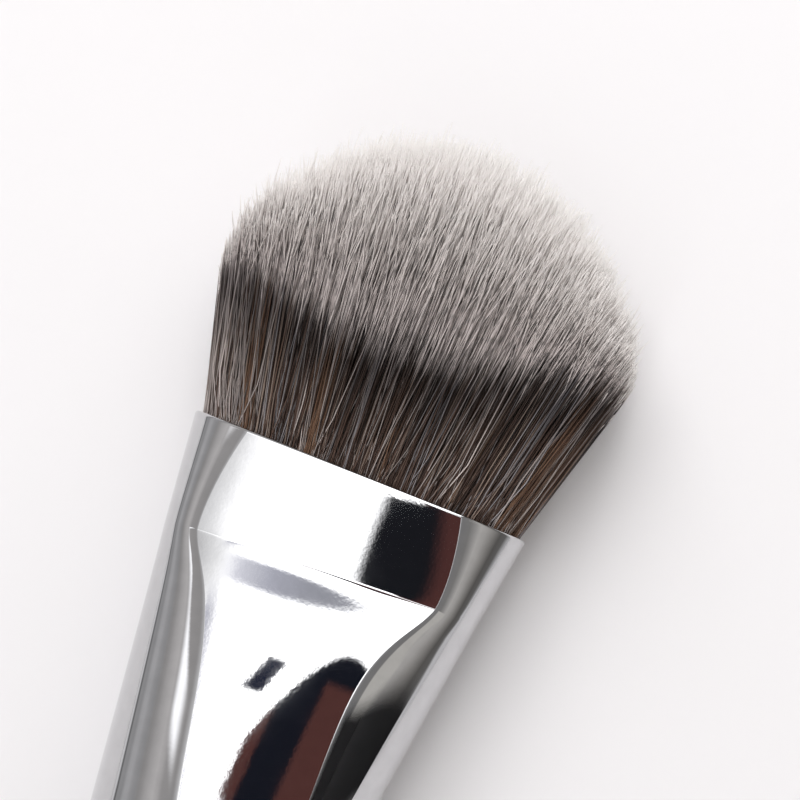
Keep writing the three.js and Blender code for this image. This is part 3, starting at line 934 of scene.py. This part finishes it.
def build_flag():
    """A dark card folded over one side of the ferrule, seen only in the chrome."""
    n = Nodes("dark_flag")
    n.shader.inputs["Base Color"].default_value = (0.02, 0.02, 0.021, 1.0)
    n.shader.inputs["Roughness"].default_value = 0.9
    x, y, z = n.axes(n.coords("Object"))
    near = n.smooth(n.plus(y, n.times(z, NEAR_LEAN)), *NEAR_FADE)
    far = n.minus(1.0, n.smooth(y, *FAR_FADE))
    edge = n.minus(1.0, n.smooth(x, *EDGE_FADE))
    clear = n.add("ShaderNodeBsdfTransparent")
    blend = n.add("ShaderNodeMixShader")
    n.link(n.times(n.times(near, far), edge), blend.inputs[0])
    n.link(clear.outputs[0], blend.inputs[1])
    n.link(n.shader.outputs[0], blend.inputs[2])
    n.link(blend.outputs[0], n.tree.nodes["Material Output"].inputs["Surface"])
    corners = [
        (FLAG_WALL, FLAG_NEAR, FLAG_LOW), (FLAG_WALL, FLAG_FAR, FLAG_LOW), (FLAG_WALL, FLAG_FAR, FLAG_TOP),
        (FLAG_WALL, FLAG_NEAR, FLAG_TOP), (FLAG_EDGE, FLAG_FAR, FLAG_TOP), (FLAG_EDGE, FLAG_NEAR, FLAG_TOP)]
    flag = stage_object("dark_flag", corners, [(0, 1, 2, 3), (3, 2, 4, 5)], n.material)
    for ray in ("camera", "diffuse", "shadow", "transmission", "volume_scatter"):
        setattr(flag, "visible_" + ray, False)


# Soft lamps, in metres and watts: place, target, size, power
LAMPS = {
    "key": ((0.2, -0.48, 0.5), (0, -0.065, 0), (0.55, 0.55), 2.75),
    "fill": ((-0.1, -0.9, 0.2), (0, -0.085, 0.01), (0.7, 0.35), 2.0)}


def area_light(name, place, target, size, power):
    light = bpy.data.lights.new(name, "AREA")
    light.shape = "RECTANGLE"
    light.size, light.size_y = size
    light.energy = power
    lamp = bpy.data.objects.new(name, light)
    scene.collection.objects.link(lamp)
    lamp.location = place
    lamp.rotation_euler = (Vector(target) - Vector(place)).to_track_quat("-Z", "Y").to_euler()
    lamp.visible_glossy = False


# The camera looks down at the head, turned so that the brush runs from the lower left to the upper right
CAMERA_AZIMUTH = 250.8956
CAMERA_ELEVATION = 83.1327
CAMERA_ROLL = 310.7807
CAMERA_TARGET = (-0.7846, -68.4999, 8.0)
CAMERA_DISTANCE = 167.559
CAMERA_LENS = 100.0
CAMERA_SENSOR = 36.0
CAMERA_CLIP = 0.005


def build_camera():
    azimuth, elevation = math.radians(CAMERA_AZIMUTH), math.radians(CAMERA_ELEVATION)
    roll = math.radians(CAMERA_ROLL)
    back = Vector((math.sin(azimuth) * math.cos(elevation), -math.cos(azimuth) * math.cos(elevation),
                   math.sin(elevation)))
    right = Vector((math.cos(azimuth), math.sin(azimuth), 0.0))
    up = back.cross(right)
    rolled_right = right * math.cos(roll) + up * math.sin(roll)
    rolled_up = back.cross(rolled_right)
    data = bpy.data.cameras.new("photo_camera")
    data.lens = CAMERA_LENS
    data.sensor_width = CAMERA_SENSOR
    data.clip_start = CAMERA_CLIP
    camera = bpy.data.objects.new("photo_camera", data)
    scene.collection.objects.link(camera)
    matrix = Matrix((rolled_right, rolled_up, back)).transposed().to_4x4()
    matrix.translation = Vector(CAMERA_TARGET) * MM + back * CAMERA_DISTANCE * MM
    camera.matrix_world = matrix
    scene.camera = camera


build_floor()
build_world()
build_flag()
for lamp_name, lamp_values in LAMPS.items():
    area_light(lamp_name, *lamp_values)
build_camera()
